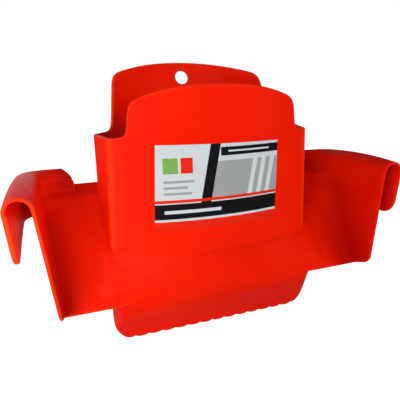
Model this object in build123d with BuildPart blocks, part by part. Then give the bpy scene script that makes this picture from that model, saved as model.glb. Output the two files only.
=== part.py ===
"""Flat mop wringer: a deep moulded pocket carried by two winged rim hooks.

The frame has its origin midway between the two hooks, at the height of the bucket
rim that they hang on.  +X is to the viewer's right, +Y goes back from the label
side, +Z is up.  Lengths are millimetres.
"""

import os

from build123d import *

# Wall of the moulding
WALL = 2.6

# Pocket plan: a bowed front wall, short end walls and a round, leaning back wall
FRONT_HALF_WIDTH = 79.0
FRONT_Y = 2.0
FRONT_BOW = 14.0
BACK_HALF_WIDTH = 84.8
BACK_END_Y = 28.2
BACK_APEX_Y = 71.0
BACK_LEAN = 0.333
FRONT_CORNER_RADIUS = 6.0
BACK_CORNER_RADIUS = 9.0
FRONT_SPLIT_Y = 6.0
BACK_SPLIT_Y = 20.0

# Heights of the pocket
SHOULDER_Z = 27.0
CREASE_Z = -57.0
BEND_Z = -86.3
BOTTOM_Z = -126.0

# Front tab and back tab: arched tops that stand on the shoulders
FRONT_APEX_Z = 62.0
FRONT_ARCH_DROP = 10.7
FRONT_TAB_TOP_HALF = 63.2
FRONT_TAB_BASE_HALF = 66.2
FRONT_TAB_CORNER = 6.0
FRONT_SHOULDER_FILLET = 8.0
BACK_APEX_Z = 77.6
BACK_ARCH_DROP = 7.6
BACK_TAB_TOP_HALF = 64.6
BACK_TAB_BASE_HALF = 68.6
BACK_TAB_CORNER = 8.0
BACK_SHOULDER_FILLET = 6.0

# Hole for hanging the wringer on a hook, square to the leaning back wall
HANG_HOLE_DIAMETER = 12.0
HANG_HOLE_Z = 65.3

# Belly and drain basket below the crease
CREASE_BACK_HALF_WIDTH = 85.0
CREASE_BACK_END_Y = 20.0
BEND_HALF_WIDTH = 80.0
BEND_FRONT_Y = -22.5
BEND_BOW = 0.6
BEND_BACK_HALF_WIDTH = 84.0
BEND_BACK_END_Y = 15.0
BASKET_HALF_WIDTH = 78.0
BASKET_FRONT_Y = -4.0
BASKET_BOW = 0.4
BASKET_BACK_HALF_WIDTH = 82.6
BASKET_BACK_END_Y = 16.0
BASKET_CORNER_RADIUS = 14.0
BASKET_END_WIDTH = 5.0
ROUND_MARGIN = 0.1

# Drain slots in the basket floor, and the rounded ribs under it
RIB_COUNT = 13
RIB_PITCH = 10.7
RIB_WIDTH = 9.4
RIB_HEIGHT = 1.2
SLOT_WIDTH = 3.0
SLOT_LENGTH = 10.0

# Wings: sloping panels that join the pocket to the end plates
PANEL_TOP_Y = 31.5
PANEL_TOP_Z = -19.1
LIP_BACK_Y = 44.5
LIP_BACK_Z = -13.2
LIP_END_X = 100.4

# End plates: toed in towards the back and drafted towards the bottom
END_PLATE_X = 128.7
END_PLATE_FRONT_Y = -37.0
END_PLATE_FOOT_Y = -41.0
END_PLATE_FOOT_Z = -79.0
END_PLATE_CORNER = 5.0
TOE_IN = 0.025
DRAFT = 0.1133

# Hooks: a channel over the bucket rim, along each side and round its back corner
RIM_GAP = 12.8
RIDGE_BACK_Y = 47.0
RIDGE_CORNER_RADIUS = 9.5
RIDGE_END_RADIUS = 10.0
CROWN_SLOPE = 0.06
CROWN_FRONT_Z = 4.0
SKIRT_BOTTOM_Z = -38.6
SKIRT_TOE_RADIUS = 9.0
SKIRT_DRAFT = 0.07

# Printed label on the front wall
LABEL_LEFT_X = -48.8
LABEL_RIGHT_X = 46.8
LABEL_TOP_Z = 21.8
LABEL_BOTTOM_Z = -39.4
LABEL_THICKNESS = 0.4
LABEL_ADHESIVE = 0.1

# Room around the object for cutting tools, and the height of the rough pocket
REACH = 2 * END_PLATE_X
ROUGH_TOP_Z = BACK_APEX_Z + WALL

# Heights and places of the hook channel that follow from the sizes above
gap_radius = RIM_GAP / 2
crown_radius = gap_radius + WALL
corner_y = RIDGE_BACK_Y - RIDGE_CORNER_RADIUS
spring_z = CROWN_FRONT_Z - crown_radius
spring_back_z = spring_z - CROWN_SLOPE * (corner_y - END_PLATE_FRONT_Y)
far_back = Plane.XZ.offset(-REACH)


def save(part, name):
    """Label one finished piece and write it as its own file."""
    part.label = name
    export_step(part, f"parts/{name}.step")


def save_pair(part, name):
    """Write a right-hand piece and its mirror image on the left."""
    save(part, f"right_{name}")
    with BuildPart() as left:
        mirror(part, about=Plane.YZ)
    save(left.part, f"left_{name}")


def plan(height, front, back, inset):
    """Plan outline of the pocket at one height.

    front is (half width, y, bow) and back is (half width, y of its ends, y of its apex).
    """
    front_half, front_y, front_bow = front
    back_half, back_end_y, back_apex_y = back
    with BuildSketch(Plane.XY.offset(height)) as outline:
        with BuildLine():
            ThreePointArc((-front_half, front_y), (0, front_y - front_bow), (front_half, front_y))
            Line((front_half, front_y), (back_half, back_end_y))
            ThreePointArc((back_half, back_end_y), (0, back_apex_y), (-back_half, back_end_y))
            Line((-back_half, back_end_y), (-front_half, front_y))
        make_face()
        corners = outline.vertices().sort_by(Axis.Y)
        fillet(corners[:2], FRONT_CORNER_RADIUS)
        corners = outline.vertices().sort_by(Axis.Y)
        fillet(corners[-2:], BACK_CORNER_RADIUS)
        if inset:
            offset(amount=-inset, kind=Kind.INTERSECTION, mode=Mode.REPLACE)
    return outline.sketch


def back_apex(height):
    """Y of the leaning back wall's middle at one height."""
    return BACK_APEX_Y + (height - SHOULDER_Z) * BACK_LEAN


def upper_body(inset):
    """Solid pocket from the crease to above the tabs, drawn in by inset."""
    front = (FRONT_HALF_WIDTH, FRONT_Y, FRONT_BOW)
    crease_back = (CREASE_BACK_HALF_WIDTH, CREASE_BACK_END_Y, back_apex(CREASE_Z))
    top_back = (BACK_HALF_WIDTH, BACK_END_Y, back_apex(ROUGH_TOP_Z))
    with BuildPart() as body:
        low = plan(CREASE_Z, front, crease_back, inset)
        high = plan(ROUGH_TOP_Z, front, top_back, inset)
        loft(sections=[low, high], ruled=True)
    return body.part


def lower_body(inset):
    """Solid belly and basket from the crease to the floor, drawn in by inset."""
    crease = plan(
        CREASE_Z,
        (FRONT_HALF_WIDTH, FRONT_Y, FRONT_BOW),
        (CREASE_BACK_HALF_WIDTH, CREASE_BACK_END_Y, back_apex(CREASE_Z)),
        inset,
    )
    bend = plan(
        BEND_Z,
        (BEND_HALF_WIDTH, BEND_FRONT_Y, BEND_BOW),
        (BEND_BACK_HALF_WIDTH, BEND_BACK_END_Y, back_apex(BEND_Z)),
        inset,
    )
    basket = plan(
        BOTTOM_Z,
        (BASKET_HALF_WIDTH, BASKET_FRONT_Y, BASKET_BOW),
        (BASKET_BACK_HALF_WIDTH, BASKET_BACK_END_Y, back_apex(BOTTOM_Z)),
        inset,
    )
    foot = BOTTOM_Z + inset
    radius = BASKET_CORNER_RADIUS - inset
    half = BASKET_HALF_WIDTH - inset
    flare = (BEND_HALF_WIDTH - BASKET_HALF_WIDTH) / (BEND_Z - BOTTOM_Z)
    splay = (BASKET_BACK_HALF_WIDTH - BASKET_HALF_WIDTH) / (BASKET_BACK_END_Y - BASKET_FRONT_Y)
    forward = Vector(-splay, -1, 0).normalized()
    with BuildPart() as corner_cut:
        with BuildSketch(Plane.XZ.offset(-BASKET_FRONT_Y)) as corner_view:
            with BuildLine():
                start = (half - radius, foot - ROUND_MARGIN)
                end = (half + flare * radius + ROUND_MARGIN, foot + radius)
                RadiusArc(start, end, -radius - ROUND_MARGIN)
                outside = half + 2 * radius
                below = foot - radius
                Polyline(end, (outside, end[1]), (outside, below), (start[0], below), start)
            make_face()
        extrude(corner_view.sketch, amount=REACH / 2, dir=forward)
        extrude(corner_view.sketch, amount=REACH / 2, dir=-forward)
        mirror(about=Plane.YZ)
    with BuildPart() as body:
        loft(sections=[crease, bend], ruled=True)
        loft(sections=[bend, basket], ruled=True)
        if inset:
            split(bisect_by=Plane.XY.offset(foot), keep=Keep.TOP)
        add(corner_cut.part, mode=Mode.SUBTRACT)
    return body.part


def tab_view(apex, drop, top_half, base_half, corner, shoulder_fillet):
    """Front view of one wall: an arched tab on two level shoulders."""
    with BuildSketch(far_back) as view:
        with BuildLine():
            arch = ThreePointArc((-top_half, apex - drop), (0, apex), (top_half, apex - drop))
            right = Polyline(
                arch @ 1,
                (base_half, SHOULDER_Z),
                (REACH, SHOULDER_Z),
                (REACH, BOTTOM_Z),
                (0, BOTTOM_Z),
            )
            mirror(right, about=Plane.YZ)
        make_face()
        on_corner = [v for v in view.vertices() if abs(abs(v.X) - top_half) < 0.01]
        fillet(on_corner, corner)
        on_shoulder = [v for v in view.vertices() if abs(abs(v.X) - base_half) < 0.01]
        fillet(on_shoulder, shoulder_fillet)
    return view.sketch


def facing(y):
    """Upright plane across the pocket at y, facing back."""
    return Plane(origin=(0, y, 0), z_dir=(0, 1, 0))


def wing_strips():
    """Cross-sections of the wing's panel, lip and rim wall, as mitred strips in (Y, Z)."""
    foot = Vector(BEND_FRONT_Y, BEND_Z)
    top = Vector(PANEL_TOP_Y, PANEL_TOP_Z)
    lip = Vector(LIP_BACK_Y, LIP_BACK_Z)
    rim = Vector(RIDGE_BACK_Y - crown_radius, spring_back_z)

    def behind(start, end):
        along = (end - start).normalized()
        return Vector(along.Y, -along.X)

    panel_back = behind(foot, top)
    lip_back = behind(top, lip)
    mitre = (panel_back + lip_back) * (WALL / (1 + panel_back.dot(lip_back)))
    panel_strip = [foot, top, top + mitre, foot + panel_back * WALL]
    lip_strip = [top, lip, lip + lip_back * WALL, top + mitre]
    rim_strip = [top, rim, rim + Vector(WALL, 0), top + mitre]
    return panel_strip, lip_strip, rim_strip


def strip_sketch(points, x):
    """One strip as a face on the upright plane at x."""
    with BuildSketch(Plane.YZ.offset(x)) as face:
        with BuildLine():
            Polyline(*[(p.X, p.Y) for p in points], close=True)
        make_face()
    return face.sketch


os.makedirs("parts", exist_ok=True)

upper_outer = upper_body(0)
upper_inner = upper_body(WALL)
lower_outer = lower_body(0)
lower_inner = lower_body(WALL)
end_outer_plane = Plane(origin=(END_PLATE_X, END_PLATE_FRONT_Y, 0), z_dir=(1, TOE_IN, -DRAFT))
end_inner_plane = end_outer_plane.offset(-WALL)

shoulder_plane = Plane.XY.offset(SHOULDER_Z)


def upper_shell():
    """Hollow upper pocket, open at both ends."""
    with BuildPart() as shell:
        add(upper_outer)
        add(upper_inner, mode=Mode.SUBTRACT)
    return shell.part


# Front wall up to the shoulders, and the arched tab that stands on it
with BuildPart() as front_wall:
    add(upper_shell())
    split(bisect_by=facing(FRONT_SPLIT_Y), keep=Keep.BOTTOM)
    split(bisect_by=shoulder_plane, keep=Keep.BOTTOM)
save(front_wall.part, "front_wall")

with BuildPart() as front_tab:
    add(upper_shell())
    split(bisect_by=facing(FRONT_SPLIT_Y), keep=Keep.BOTTOM)
    split(bisect_by=shoulder_plane, keep=Keep.TOP)
    front_view = tab_view(
        FRONT_APEX_Z,
        FRONT_ARCH_DROP,
        FRONT_TAB_TOP_HALF,
        FRONT_TAB_BASE_HALF,
        FRONT_TAB_CORNER,
        FRONT_SHOULDER_FILLET,
    )
    extrude(front_view, amount=2 * REACH, mode=Mode.INTERSECT)
save(front_tab.part, "front_tab")

# Back wall, and its taller tab with the hole it is hung up by
with BuildPart() as back_wall:
    add(upper_shell())
    split(bisect_by=facing(BACK_SPLIT_Y), keep=Keep.TOP)
    split(bisect_by=shoulder_plane, keep=Keep.BOTTOM)
save(back_wall.part, "back_wall")

with BuildPart() as back_tab:
    add(upper_shell())
    split(bisect_by=facing(BACK_SPLIT_Y), keep=Keep.TOP)
    split(bisect_by=shoulder_plane, keep=Keep.TOP)
    back_view = tab_view(
        BACK_APEX_Z,
        BACK_ARCH_DROP,
        BACK_TAB_TOP_HALF,
        BACK_TAB_BASE_HALF,
        BACK_TAB_CORNER,
        BACK_SHOULDER_FILLET,
    )
    extrude(back_view, amount=2 * REACH, mode=Mode.INTERSECT)
    hole_plane = Plane(origin=(0, back_apex(HANG_HOLE_Z), HANG_HOLE_Z), z_dir=(0, 1, -BACK_LEAN))
    with BuildSketch(hole_plane):
        Circle(HANG_HOLE_DIAMETER / 2)
    extrude(amount=4 * WALL, both=True, mode=Mode.SUBTRACT)
save(back_tab.part, "back_tab")

# End walls of the pocket, level with the shoulders
with BuildPart() as side_wall:
    add(upper_shell())
    split(bisect_by=facing(FRONT_SPLIT_Y), keep=Keep.TOP)
    split(bisect_by=facing(BACK_SPLIT_Y), keep=Keep.BOTTOM)
    split(bisect_by=shoulder_plane, keep=Keep.BOTTOM)
    split(bisect_by=Plane.YZ, keep=Keep.TOP)
save_pair(side_wall.part, "side_wall")

# Lower pocket: belly, lower back wall, basket ends and floor
floor_top = Plane.XY.offset(BOTTOM_Z + WALL)
basket_end_plane = Plane.YZ.offset(BASKET_HALF_WIDTH - BASKET_END_WIDTH)
basket_middle = (BASKET_FRONT_Y + BASKET_BACK_END_Y) / 2


def lower_shell():
    """Hollow lower pocket, closed by its floor."""
    with BuildPart() as shell:
        add(lower_outer)
        add(lower_inner, mode=Mode.SUBTRACT)
    return shell.part


with BuildPart() as front_belly:
    add(lower_shell())
    split(bisect_by=floor_top, keep=Keep.TOP)
    split(bisect_by=facing(basket_middle), keep=Keep.BOTTOM)
    split(bisect_by=basket_end_plane, keep=Keep.BOTTOM)
    split(bisect_by=Plane.YZ.offset(BASKET_END_WIDTH - BASKET_HALF_WIDTH), keep=Keep.TOP)
save(front_belly.part, "front_belly")

with BuildPart() as lower_back_wall:
    add(lower_shell())
    split(bisect_by=floor_top, keep=Keep.TOP)
    split(bisect_by=facing(basket_middle), keep=Keep.TOP)
    split(bisect_by=basket_end_plane, keep=Keep.BOTTOM)
    split(bisect_by=Plane.YZ.offset(BASKET_END_WIDTH - BASKET_HALF_WIDTH), keep=Keep.TOP)
save(lower_back_wall.part, "lower_back_wall")

with BuildPart() as basket_end:
    add(lower_shell())
    split(bisect_by=floor_top, keep=Keep.TOP)
    split(bisect_by=basket_end_plane, keep=Keep.TOP)
save_pair(basket_end.part, "basket_end")

slot_y = (BASKET_FRONT_Y + back_apex(BOTTOM_Z)) / 2
with BuildPart() as drain_floor:
    add(lower_shell())
    split(bisect_by=floor_top, keep=Keep.BOTTOM)
    with BuildSketch(Plane.XY.offset(BOTTOM_Z)):
        with Locations((0, slot_y)):
            with GridLocations(RIB_PITCH, 0, RIB_COUNT - 1, 1):
                SlotOverall(SLOT_LENGTH, SLOT_WIDTH, rotation=90)
    extrude(amount=2 * WALL, both=True, mode=Mode.SUBTRACT)
save(drain_floor.part, "drain_floor")

# Rounded ribs across the underside of the floor, one between each pair of slots
rib_length = back_apex(BOTTOM_Z) - BASKET_FRONT_Y - FRONT_CORNER_RADIUS
with BuildPart() as one_rib:
    with BuildSketch(Plane.XZ.offset(rib_length / 2 - slot_y)):
        with BuildLine():
            arc = ThreePointArc(
                (-RIB_WIDTH / 2, BOTTOM_Z),
                (0, BOTTOM_Z - RIB_HEIGHT),
                (RIB_WIDTH / 2, BOTTOM_Z),
            )
            Line(arc @ 1, arc @ 0)
        make_face()
    extrude(amount=-rib_length)

with BuildPart() as drain_ribs:
    with GridLocations(RIB_PITCH, 0, RIB_COUNT, 1):
        add(one_rib.part)
save(drain_ribs.part, "drain_ribs")

# Wings
panel_strip, lip_strip, rim_strip = wing_strips()

with BuildPart() as wing_panel:
    extrude(strip_sketch(panel_strip, 0), amount=END_PLATE_X)
    add(upper_outer, mode=Mode.SUBTRACT)
    add(lower_outer, mode=Mode.SUBTRACT)
    split(bisect_by=end_inner_plane, keep=Keep.BOTTOM)
save_pair(wing_panel.part, "wing_panel")

with BuildPart() as wing_lip:
    extrude(strip_sketch(lip_strip, 0), amount=LIP_END_X)
    add(upper_outer, mode=Mode.SUBTRACT)
save_pair(wing_lip.part, "wing_lip")

with BuildPart() as rim_wall:
    extrude(strip_sketch(rim_strip, LIP_END_X), amount=END_PLATE_X - LIP_END_X)
    split(bisect_by=end_inner_plane, keep=Keep.BOTTOM)
save_pair(rim_wall.part, "rim_wall")

# End plates
with BuildPart() as end_plate:
    with BuildSketch(Plane.YZ) as plate_view:
        with BuildLine():
            Polyline(
                (END_PLATE_FRONT_Y, spring_z),
                (END_PLATE_FOOT_Y, END_PLATE_FOOT_Z),
                (BEND_FRONT_Y, BEND_Z),
                (panel_strip[3].X, panel_strip[3].Y),
                (panel_strip[2].X, panel_strip[2].Y),
                (rim_strip[2].X, rim_strip[2].Y),
                (corner_y, spring_back_z),
                close=True,
            )
        make_face()
        fillet(plate_view.vertices().sort_by(Axis.X)[0], END_PLATE_CORNER)
    extrude(amount=REACH)
    split(bisect_by=end_outer_plane, keep=Keep.BOTTOM)
    split(bisect_by=end_inner_plane, keep=Keep.TOP)
save_pair(end_plate.part, "end_plate")

# Hook channel: one profile run back along the end plate, round the corner and in along the rim wall
run_way = Vector(-TOE_IN, 1, -CROWN_SLOPE)
run_length = (corner_y - END_PLATE_FRONT_Y) * run_way.length
crown_x = END_PLATE_X + DRAFT * spring_z + gap_radius
crown_back_x = crown_x - TOE_IN * (corner_y - END_PLATE_FRONT_Y)
corner_x = crown_back_x - RIDGE_CORNER_RADIUS
corner_axis = Axis((corner_x, corner_y, 0), (0, 0, 1))
skirt_depth = spring_z - SKIRT_BOTTOM_Z
skirt_lean = SKIRT_DRAFT * skirt_depth


def crown_face(workplane, across, up):
    """Half ring over the bucket rim, on an upright plane."""
    with BuildSketch(workplane) as face:
        with Locations((across, up)):
            Circle(crown_radius)
            Circle(gap_radius, mode=Mode.SUBTRACT)
            Rectangle(REACH, REACH, align=(Align.CENTER, Align.MAX), mode=Mode.SUBTRACT)
    return face.sketch


def skirt_face(workplane, across, up):
    """Skirt that hangs from the outer side of the half ring, drafted inwards."""
    with BuildSketch(workplane) as face:
        with BuildLine():
            Polyline(
                (across + gap_radius, up),
                (across + crown_radius, up),
                (across + crown_radius - skirt_lean, up - skirt_depth),
                (across + gap_radius - skirt_lean, up - skirt_depth),
                close=True,
            )
        make_face()
    return face.sketch


def channel_end():
    """Front view of the channel's inner end, with its two corners rounded off."""
    with BuildSketch(far_back) as view:
        with BuildLine():
            Polyline(
                (LIP_END_X, spring_back_z + crown_radius),
                (corner_x, spring_back_z + crown_radius),
                (corner_x, SKIRT_BOTTOM_Z),
                (LIP_END_X, SKIRT_BOTTOM_Z),
                close=True,
            )
        make_face()
        fillet(view.vertices().sort_by(Axis.X)[:2], RIDGE_END_RADIUS)
    return view.sketch


front_plane = Plane.XZ.offset(-END_PLATE_FRONT_Y)
corner_plane = Plane.XZ.offset(-corner_y)
back_plane = Plane.YZ.offset(corner_x)
back_run = corner_x - LIP_END_X

with BuildPart() as crown_end:
    extrude(crown_face(back_plane, RIDGE_BACK_Y, spring_back_z), amount=-back_run)
    extrude(channel_end(), amount=2 * REACH, mode=Mode.INTERSECT)

with BuildPart() as hook_crown:
    extrude(crown_face(front_plane, crown_x, spring_z), amount=run_length, dir=run_way.normalized())
    corner_face = crown_face(corner_plane, crown_back_x, spring_back_z)
    revolve(corner_face, axis=corner_axis, revolution_arc=90)
    add(crown_end.part)
save_pair(hook_crown.part, "hook_crown")

with BuildPart() as skirt_end:
    extrude(skirt_face(back_plane, RIDGE_BACK_Y, spring_back_z), amount=-back_run)
    extrude(channel_end(), amount=2 * REACH, mode=Mode.INTERSECT)

with BuildSketch(Plane.YZ) as skirt_view:
    with BuildLine():
        Polyline(
            (END_PLATE_FRONT_Y, CROWN_FRONT_Z),
            (END_PLATE_FRONT_Y, SKIRT_BOTTOM_Z),
            (REACH, SKIRT_BOTTOM_Z),
            (REACH, CROWN_FRONT_Z),
            close=True,
        )
    make_face()
    fillet(skirt_view.vertices().group_by(Axis.X)[0].sort_by(Axis.Y)[0], SKIRT_TOE_RADIUS)

with BuildPart() as hook_skirt:
    extrude(skirt_face(front_plane, crown_x, spring_z), amount=run_length, dir=run_way.normalized())
    corner_skirt = skirt_face(corner_plane, crown_back_x, spring_back_z)
    revolve(corner_skirt, axis=corner_axis, revolution_arc=90)
    add(skirt_end.part)
    extrude(skirt_view.sketch, amount=REACH, mode=Mode.INTERSECT)
save_pair(hook_skirt.part, "hook_skirt")

# Label, a thin sheet bent to the front wall
front_radius = (FRONT_HALF_WIDTH**2 + FRONT_BOW**2) / (2 * FRONT_BOW)
with BuildPart() as front_label:
    with BuildSketch(Plane.XY.offset(LABEL_BOTTOM_Z)):
        with Locations((0, FRONT_Y - FRONT_BOW + front_radius)):
            Circle(front_radius + LABEL_ADHESIVE + LABEL_THICKNESS)
            Circle(front_radius + LABEL_ADHESIVE, mode=Mode.SUBTRACT)
    extrude(amount=LABEL_TOP_Z - LABEL_BOTTOM_Z)
    with BuildSketch(far_back):
        with Locations(((LABEL_LEFT_X + LABEL_RIGHT_X) / 2, 0)):
            Rectangle(LABEL_RIGHT_X - LABEL_LEFT_X, REACH)
    extrude(amount=2 * REACH, mode=Mode.INTERSECT)
    split(bisect_by=facing(FRONT_Y), keep=Keep.BOTTOM)
save(front_label.part, "front_label")
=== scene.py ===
"""Flat mop wringer: its moulding, drain floor and printed label as finished surfaces.

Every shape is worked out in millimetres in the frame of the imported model: +X to the
viewer's right, +Y back from the label side, +Z up, origin level with the bucket rim.
Pairs of a place and a run give a smooth step, a negative run one that rises downwards.
"""

import logging
import math
from dataclasses import dataclass
from enum import Enum, IntEnum

import bpy
import numpy as np
from bpy.types import ID, Material, NodeOutputs, NodeSocket, Object, World
from mathutils import Matrix, Vector


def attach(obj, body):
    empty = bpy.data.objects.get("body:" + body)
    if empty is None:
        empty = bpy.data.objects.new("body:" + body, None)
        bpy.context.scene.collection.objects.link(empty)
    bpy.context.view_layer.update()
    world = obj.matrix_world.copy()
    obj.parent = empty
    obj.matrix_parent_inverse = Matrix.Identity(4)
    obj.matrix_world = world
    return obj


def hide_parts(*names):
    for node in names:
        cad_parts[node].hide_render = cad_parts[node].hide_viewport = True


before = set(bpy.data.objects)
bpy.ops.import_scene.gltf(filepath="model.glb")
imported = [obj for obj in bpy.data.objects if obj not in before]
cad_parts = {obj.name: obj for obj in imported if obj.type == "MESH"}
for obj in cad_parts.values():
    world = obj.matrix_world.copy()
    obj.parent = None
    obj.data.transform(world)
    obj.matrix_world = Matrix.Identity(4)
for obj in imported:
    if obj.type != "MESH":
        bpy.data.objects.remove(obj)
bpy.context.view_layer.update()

MM = 0.001
WHITE = (1.0, 1.0, 1.0, 1.0)
UP = np.array([0.0, 0.0, 1.0])
LEVEL = np.array([1.0, 1.0, 0.0])
GRAIN_DETAIL = 2.0
NOISE_MIDDLE = (0.3, 0.7)
Array = np.ndarray
log = logging.getLogger("wringer")


class Side(Enum):
    """Which wing of the wringer; the value is its hand in names."""

    LEFT = "left"
    RIGHT = "right"


class Stretch(IntEnum):
    """Stretch of a right-angled path that a column of the wing is on."""

    BACK = 0
    CORNER = 1
    SIDE = 2


class LampKind(Enum):
    """Kind of lamp; the value is Blender's word for it."""

    BOX = "AREA"
    BEAM = "SPOT"


def grow(at: Array, start: float | Array = 0.0, run: float = 1.0) -> Array:
    """Smooth step 3 s² − 2 s³, with s the share of the run from its start, held to 0..1."""
    share = np.clip((at - start) / run, 0.0, 1.0)
    return share * share * (3.0 - 2.0 * share)


def fade(at: Array, start: float, run: float) -> Array:
    """Smooth step from 1 down to 0."""
    return 1.0 - grow(at, start, run)


def between(first: Array, last: Array, share: Array) -> Array:
    """Straight blend: first + (last − first) × share."""
    return first + (last - first) * share


def shares(count: int) -> Array:
    """Even shares from the first of so many steps up to 1, as a column."""
    return np.linspace(0.0, 1.0, count + 1)[1:, None]


def stack(x: Array, y: Array, z: Array) -> Array:
    """Points from coordinates that fit together, with X, Y and Z last."""
    return np.stack(np.broadcast_arrays(x, y, z), -1)


def eased_line(at: Array, knots: tuple, values: tuple, reach: tuple) -> Array:
    """Broken line with rounded bends: each inner knot adds its change of slope × a ramp.

    The ramp is (d + w)² / 4w while the distance d from the knot is within ± w.

    Args:
        at: Places on the line.
        knots: Places of the values, rising.
        values: Value at each knot.
        reach: Half length w of each inner bend.

    Returns:
        The value at each place.
    """
    slopes = np.diff(values) / np.diff(knots)
    total = values[0] + slopes[0] * (at - knots[0])
    for knot, change, width in zip(knots[1:-1], np.diff(slopes), reach):
        off = at - knot
        bend = (off + width) ** 2 / (4.0 * width)
        total = total + change * np.where(np.abs(off) < width, bend, np.maximum(off, 0.0))
    return total


def quarter(depth: Array, radius: float) -> Array:
    """Inset of a quarter circle: r − √(r² − d²), with the depth d held to 0..r."""
    held = np.clip(depth, 0.0, radius)
    return radius - np.sqrt(radius * radius - held * held)


def lobed(off: Array, pitch: float, share: float = 1.0) -> Array:
    """Row of half circles √(1 − ξ²), with ξ the way from a lobe's middle over half its width."""
    beside = np.mod(off / pitch + 0.5, 1.0) - 0.5
    return np.sqrt(np.maximum(1.0 - (2.0 * beside / share) ** 2, 0.0))


def blur_round(values: Array, half: int) -> Array:
    """Moving average under a bell, round a closed loop along the last axis.

    Args:
        values: Samples round the loop.
        half: Half width of the bell, in samples.

    Returns:
        The smoothed samples.
    """
    count = values.shape[-1]
    bell = 0.5 + 0.5 * np.cos(np.linspace(-math.pi, math.pi, 2 * half + 1))
    weights = np.zeros(count)
    weights[np.arange(-half, half + 1)] = bell / bell.sum()
    mixed = np.fft.rfft(values, axis=-1) * np.fft.rfft(weights)
    return np.fft.irfft(mixed, n=count, axis=-1)


def unit(vectors: Array) -> Array:
    """Each vector divided by its own length."""
    return vectors / np.maximum(np.linalg.norm(vectors, axis=-1, keepdims=True), 1e-9)


def put(name: str, data: ID) -> Object:
    """Link a new object into the scene, at the origin.

    Args:
        name: Name of the object.
        data: Its mesh, lamp or camera.

    Returns:
        The object.
    """
    made = bpy.data.objects.new(name, data)
    bpy.context.scene.collection.objects.link(made)
    return made


class Piece:
    """A piece of the wringer, which takes the place of some CAD nodes."""

    slot = "moulding"
    nodes: tuple = ()

    def dress(self, made: Object, finish: Material) -> None:
        """Give the piece its finish and its place in the frame.

        Args:
            made: The piece's object.
            finish: Its material.
        """
        made.data.materials.append(finish)
        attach(made, "root")
        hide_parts(*self.nodes)


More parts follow.
